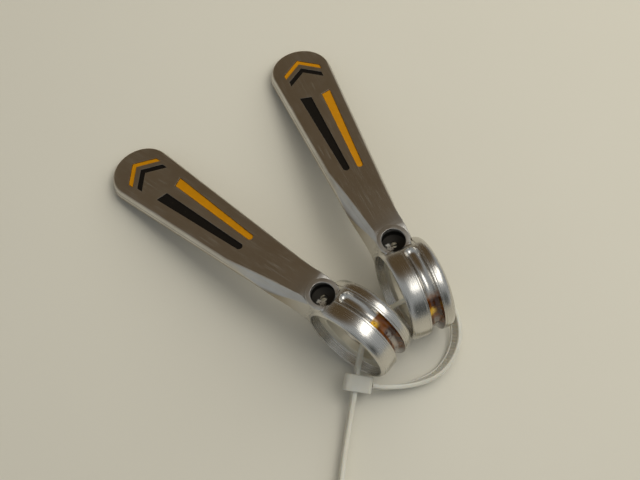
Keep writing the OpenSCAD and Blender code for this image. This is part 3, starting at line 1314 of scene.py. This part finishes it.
@dataclass
class CableTie:
    """The nylon tie: a toothed strap, the head that it passes through and the head's pawl."""

    width: float = 3.6
    thick: float = 1.2
    pitch: float = 1.0
    tooth: float = 0.19
    plain: float = 0.10
    bare_root: float = 9.0
    bare_tip: float = 7.0
    taper: float = 9.0
    slot_point: int = 18
    lean: float = 30.0
    head_size: tuple[float, float, float] = (7.0, 4.4, 5.2)
    head_turn: float = -47.0
    head_lean: float = 16.8
    head_roll: float = 10.6
    slot_side: float = 2.9
    slot_gap: float = 0.25
    corner: float = 1.05
    edge: float = 0.38
    pawl_cuts: tuple[float, ...] = (0.9, 1.5, 2.1)
    up: Vector = field(default_factory=lambda: Vector((0, -0.25, 0.97)))
    nylon: NaturalNylon = field(default_factory=NaturalNylon)
    route: tuple[Triple, ...] = (
        (-14.3, -12, 4.4), (-12, -14.1, 3.8), (-7.6, -16.6, 2.8), (-2.7, -18.5, 2.2), (2, -19.2, 2),
        (6.5, -18.3, 2.1), (10.4, -16.2, 2.6), (13.2, -13.3, 3.4), (15, -9.8, 4.3), (15.4, -6.4, 5.2),
        (13.8, -3.4, 6.1), (10.3, -1.2, 6.8), (6, 0.3, 7.1), (1.5, 0.9, 7.2), (-3, 0.5, 7.3),
        (-7, -1, 7.3), (-10.8, -3.3, 7.1), (-14.1, -6.1, 6.4), (-17.3, -9.1, 5.2), (-19.9, -11.5, 4),
        (-23.1, -14.4, 2.8), (-27, -18, 2.1), (-31.4, -22.2, 2), (-36, -26.8, 2), (-41, -32, 2),
        (-46, -37.3, 2), (-51, -42.8, 2), (-55.6, -48, 2))

    def middle(self) -> Vector:
        """The point on the floor midway between the two drums, in metres."""
        spots = [Vector(j["pos_m"]) for j in frame["joints"] if j["name"].endswith("lever_swing")]
        half = (spots[0] + spots[1]) / 2
        return Vector((half.x, half.y, 0))

    def place(self) -> Matrix:
        """The tie's frame, from millimetres to metres."""
        return Matrix.Translation(self.middle()) @ Matrix.Scale(MM, 4)

    def head_place(self) -> Matrix:
        """The head's frame: X along the root of the strap, Y along the strap in the slot."""
        turns = (Matrix.Rotation(math.radians(self.head_turn), 4, "Z")
                 @ Matrix.Rotation(math.radians(self.head_lean), 4, "X")
                 @ Matrix.Rotation(math.radians(self.head_roll), 4, "Y"))
        return self.place() @ Matrix.Translation(self.route[self.slot_point]) @ turns

    def line(self) -> list[Vector]:
        """Runs a smooth curve through the route's points, in steps of about a tenth of a millimetre.

        Returns:
            The points.
        """
        points = [Vector(p) for p in self.route]
        ends = [2 * points[0] - points[1], *points, 2 * points[-1] - points[-2]]
        run: list[Vector] = []
        for a, b, c, d in zip(ends, ends[1:], ends[2:], ends[3:]):
            for step in range(40):
                t = step / 40
                run.append(0.5 * (2 * b + (c - a) * t + (2 * a - 5 * b + 4 * c - d) * t * t
                                  + (3 * b - a - 3 * c + d) * t ** 3))
        run.append(points[-1])
        return run

    def marks(self, total: float) -> list[tuple[float, float]]:
        """Sets out where the strap's section changes, twice to each tooth.

        Args:
            total: The strap's length.

        Returns:
            Pairs of a distance along the strap and the height of its track there.
        """
        found: list[tuple[float, float]] = []
        place = 0.0
        while place < total - 0.05:
            toothed = self.bare_root < place < total - self.bare_tip
            crest = min(place + 0.78 * self.pitch, total - 0.02)
            found.append((place, 0.0 if toothed else self.plain))
            found.append((crest, self.tooth if toothed else self.plain))
            place += self.pitch
        return [*found, (total, self.plain)]

    def section(self, remaining: float, height: float) -> list[tuple[float, float]]:
        """Draws the strap's section, with soft corners and a sunk track on its inner face.

        Args:
            remaining: Distance to the strap's tip, towards which it narrows.
            height: Height of the track.

        Returns:
            Corners as distances outwards and across.
        """
        h, w = self.thick / 2, self.width / 2
        if remaining < self.taper:
            w *= 0.55 + 0.45 * remaining / self.taper
        track = -h + 0.30 - height
        half = [(h, w - 0.3), (h - 0.13, w - 0.08), (h - 0.36, w), (-h + 0.30, w), (-h + 0.08, w - 0.09),
                (-h, w - 0.28), (-h, w - 0.62), (track, w - 0.72)]
        return half + [(out, -across) for out, across in reversed(half)]

    def stance(self, ahead: Vector, mark: float) -> tuple[Vector, Vector]:
        """Stands the strap on edge, leaning outwards round its loop.

        Args:
            ahead: Direction along the strap.
            mark: Distance along the strap.

        Returns:
            The directions out of its back and across it.
        """
        share = min(max((mark - 4) / 44, 0.0), 1.0)
        lean = math.radians(self.lean * math.sin(math.pi * share))
        side = ahead.cross(Vector((0, 0, 1))).normalized()
        out = ahead.cross(self.up + side * math.tan(lean)).normalized()
        return out, out.cross(ahead)

    def strap(self) -> bpy.types.Object:
        """Sweeps the strap's section along the route.

        Returns:
            The strap.
        """
        run = self.line()
        gone = [0.0]
        for a, b in zip(run, run[1:]):
            gone.append(gone[-1] + (b - a).length)
        total = gone[-1]
        rings: list[list[Vector]] = []
        index = 0
        for mark, height in self.marks(total):
            while index < len(gone) - 2 and gone[index + 1] < mark:
                index += 1
            share = (mark - gone[index]) / max(gone[index + 1] - gone[index], 1e-9)
            spot = run[index].lerp(run[index + 1], share)
            ahead = (run[min(index + 6, len(run) - 1)] - run[max(index - 5, 0)]).normalized()
            out, rise = self.stance(ahead, mark)
            rings.append([spot + a * out + b * rise for a, b in self.section(total - mark, height)])
        obj = self.sweep("tie_band", rings)
        Bench.settle(obj, self.place())
        Bench.smooth(obj, 28)
        return obj

    @staticmethod
    def sweep(name: str, rings: list[list[Vector]]) -> bpy.types.Object:
        """Skins a row of rings into a closed solid.

        Args:
            name: The new object's name.
            rings: The rings, each with the same number of corners.

        Returns:
            The solid.
        """
        count = len(rings[0])
        faces: list[list[int]] = []
        for first in range(0, (len(rings) - 1) * count, count):
            for a in range(count):
                b = (a + 1) % count
                faces.append([first + a, first + b, first + count + b, first + count + a])
        last = (len(rings) - 1) * count
        faces += [list(range(count))[::-1], list(range(last, last + count))]
        mesh = bpy.data.meshes.new(name)
        mesh.from_pydata([corner for ring in rings for corner in ring], [], faces)
        obj = bpy.data.objects.new(name, mesh)
        bpy.context.scene.collection.objects.link(obj)
        with Bench.editing(obj):
            bpy.ops.mesh.select_all(action="SELECT")
            bpy.ops.mesh.normals_make_consistent(inside=False)
        return obj

    def head(self) -> bpy.types.Object:
        """Makes the head: a soft-cornered block with its slot and its pawl's pocket.

        Returns:
            The head.
        """
        long, deep, tall = self.head_size
        bpy.ops.mesh.primitive_cube_add(size=1, location=(long / 2 - self.slot_side, 0, 0),
                                        scale=(long, deep, tall))
        obj = Bench.take("tie_block")
        with Bench.editing(obj):
            Bench.pick(obj, Pick.EDGES, lambda m, d: abs(d.y) > 0.9)
            bpy.ops.mesh.bevel(offset=self.corner, segments=5, affect="EDGES")
            Bench.pick(obj, Pick.FACES, lambda m, n: abs(n.y) > 0.9)
            bpy.ops.mesh.bevel(offset=self.edge, segments=3, affect="EDGES")
        slot = (self.thick + 2 * self.slot_gap, deep + 2, self.width + 2 * self.slot_gap)
        bpy.ops.mesh.primitive_cube_add(size=1, location=(0, 0, 0), scale=slot)
        tool = Bench.take("slot_tool")
        with Bench.editing(tool):
            Bench.pick(tool, Pick.EDGES, lambda m, d: abs(d.y) > 0.9)
            bpy.ops.mesh.bevel(offset=0.2, segments=2, affect="EDGES")
        Bench.combine(obj, tool, Combine.CUT)
        bpy.ops.mesh.primitive_cube_add(
            size=1, location=(self.thick / 2 + 0.95, -0.8, 0),
            scale=(1.9, deep, 3.5))
        Bench.combine(obj, Bench.take("pocket_tool"), Combine.CUT)
        Bench.smooth(obj, 35)
        Bench.settle(obj, self.head_place())
        return obj

    def pawl(self) -> bpy.types.Object:
        """Makes the pawl: a tongue with three small teeth that bear on the strap.

        Returns:
            The pawl.
        """
        root = self.head_size[1] / 2 - 0.95
        bpy.ops.mesh.primitive_cube_add(
            size=1, location=(self.thick / 2 + 0.8, root - 1.5, 0), scale=(1.0, 3.0, 3.2))
        obj = Bench.take("tie_tongue")
        with Bench.editing(obj):
            for place in self.pawl_cuts:
                bpy.ops.mesh.select_all(action="SELECT")
                bpy.ops.mesh.bisect(plane_co=(0, root - place, 0), plane_no=(0, 1, 0))
            Bench.pick(obj, Pick.FACES, lambda m, n: n.x < -0.9 and m.y < root - 0.9)
            bpy.ops.mesh.inset(thickness=0.12, depth=0.14, use_individual=True)
            Bench.pick(obj, Pick.EDGES, lambda m, d: abs(d.y) > 0.9 and m.x > self.thick / 2 + 1.2)
            bpy.ops.mesh.bevel(offset=0.2, segments=2, affect="EDGES")
        Bench.smooth(obj, 30)
        Bench.settle(obj, self.head_place())
        return obj

    def build(self) -> None:
        """Builds the strap, the head and the pawl."""
        skin = self.nylon.make()
        for piece, body, node in ((self.strap(), "tie", "tie_strap"), (self.head(), "tie", "tie_head"),
                                  (self.pawl(), "pawl", "tie_pawl")):
            skin.dress(piece)
            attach(piece, body)
            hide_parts(node)
            log.info("%s: %d faces", piece.name, len(piece.data.polygons))


# The studio


@dataclass(frozen=True)
class Patch:
    """A soft round patch of the room: its direction, the angles between which it fades, and its colour."""

    toward: Triple
    inner: float
    outer: float
    colour: Colour


@dataclass(frozen=True)
class Lamp:
    """A soft light facing the levers, with its sizes in metres and its power in watts."""

    name: str
    toward: Triple
    away: float
    size: tuple[float, float]
    power: float
    colour: Colour
    mirrored: bool


@dataclass
class Studio:
    """The camera, the pale floor and the soft light."""

    eye: Vector = field(default_factory=lambda: Vector((-61.04, -82.97, 267.32)) * MM)
    target: Vector = field(default_factory=lambda: Vector((10.6, 12.58, 0)) * MM)
    roll: float = -0.65
    lens: float = 59.43
    room: Colour = (0.365, 0.385, 0.398)
    patches: tuple[Patch, ...] = (
        Patch((0.25, 0.74, 0.60), 26, 58, (0.105, 0.072, 0.036)),
        Patch((-0.10, -0.92, 0.34), 8, 26, (0.05, 0.055, 0.052)),
        Patch((-0.85, -0.35, 0.35), 8, 22, (0.09, 0.095, 0.095)))
    lamps: tuple[Lamp, ...] = (
        Lamp("key", (0.36, -0.27, 0.89), 0.8, (0.46, 0.30), 1.25, (1.0, 0.975, 0.92), True),
        Lamp("ceiling", (0.62, 0.12, 0.78), 0.6, (0.95, 0.9), 3.0, (1.0, 0.95, 0.80), False))

    def camera(self) -> None:
        """Sets up the camera."""
        data = bpy.data.cameras.new("camera")
        data.lens = self.lens
        data.sensor_width = 36
        data.clip_start = 0.01
        data.clip_end = 20
        camera = bpy.data.objects.new("camera", data)
        bpy.context.scene.collection.objects.link(camera)
        look = (self.target - self.eye).to_track_quat("-Z", "Y").to_matrix().to_4x4()
        roll = Matrix.Rotation(math.radians(self.roll), 4, "Z")
        camera.matrix_world = Matrix.Translation(self.eye) @ look @ roll
        bpy.context.scene.camera = camera

    def floor(self) -> None:
        """Lays a plain pale floor with a faint grain."""
        bpy.ops.object.select_all(action="DESELECT")
        bpy.ops.mesh.primitive_plane_add(size=6, location=(0, 0, -0.00002))
        plane = Bench.take("floor")
        mix = Recipe("floor_card")
        spot = mix.place()
        cloud = mix.noise(spot, 9, 3.0, 0.5)
        tint = mix.blend(cloud, (0.665, 0.638, 0.560), (0.695, 0.670, 0.595))
        grain = mix.noise(spot, 900, 3.0, 0.6)
        mix.surface(Base_Color=tint, Roughness=0.55 + 0.1 * cloud, Normal=mix.bump(grain, 0.00004, 0.35))
        mix.surface(Specular_IOR_Level=0.25)
        mix.dress(plane)

    def hang(self, lamp: Lamp) -> None:
        """Hangs one light.

        Args:
            lamp: The light.
        """
        data = bpy.data.lights.new(lamp.name, "AREA")
        data.shape = "RECTANGLE"
        data.size, data.size_y = lamp.size
        data.energy = lamp.power
        data.color = lamp.colour
        obj = bpy.data.objects.new(lamp.name, data)
        obj.visible_glossy = lamp.mirrored
        bpy.context.scene.collection.objects.link(obj)
        spot = Vector(lamp.toward).normalized() * lamp.away
        obj.matrix_world = Matrix.Translation(spot) @ (-spot).to_track_quat("-Z", "Y").to_matrix().to_4x4()

    def sky(self) -> None:
        """Sets the room's soft light: bluish all round, brown towards the front, with two dark patches."""
        world = bpy.data.worlds.new("room")
        bpy.context.scene.world = world
        world.use_nodes = True
        board = Board(world.node_tree)
        spot = board.node("ShaderNodeTexCoord").outputs["Generated"]
        shade: object = self.room
        for patch in self.patches:
            aim = tuple(Vector(patch.toward).normalized())
            facing = board.node("ShaderNodeVectorMath", {"operation": "DOT_PRODUCT"}, {0: spot, 1: aim})
            share = board.step(board.wire(facing.outputs["Value"]), math.cos(math.radians(patch.outer)),
                               math.cos(math.radians(patch.inner)))
            shade = board.blend(share, shade, patch.colour)
        back = board.node("ShaderNodeBackground", None, {"Color": shade})
        board.node("ShaderNodeOutputWorld", None, {"Surface": back.outputs["Background"]})

    def build(self) -> None:
        """Sets the stage."""
        self.camera()
        self.floor()
        self.sky()
        for lamp in self.lamps:
            self.hang(lamp)
        bpy.context.scene.view_settings.view_transform = "Standard"
        log.info("stage: camera, floor and light")


def main() -> None:
    """Builds the stage, the levers and the tie."""
    logging.basicConfig(level=logging.INFO, format="%(name)s: %(message)s")
    Studio().build()
    LeverPair().build()
    CableTie().build()


if __name__ == "__main__":
    main()
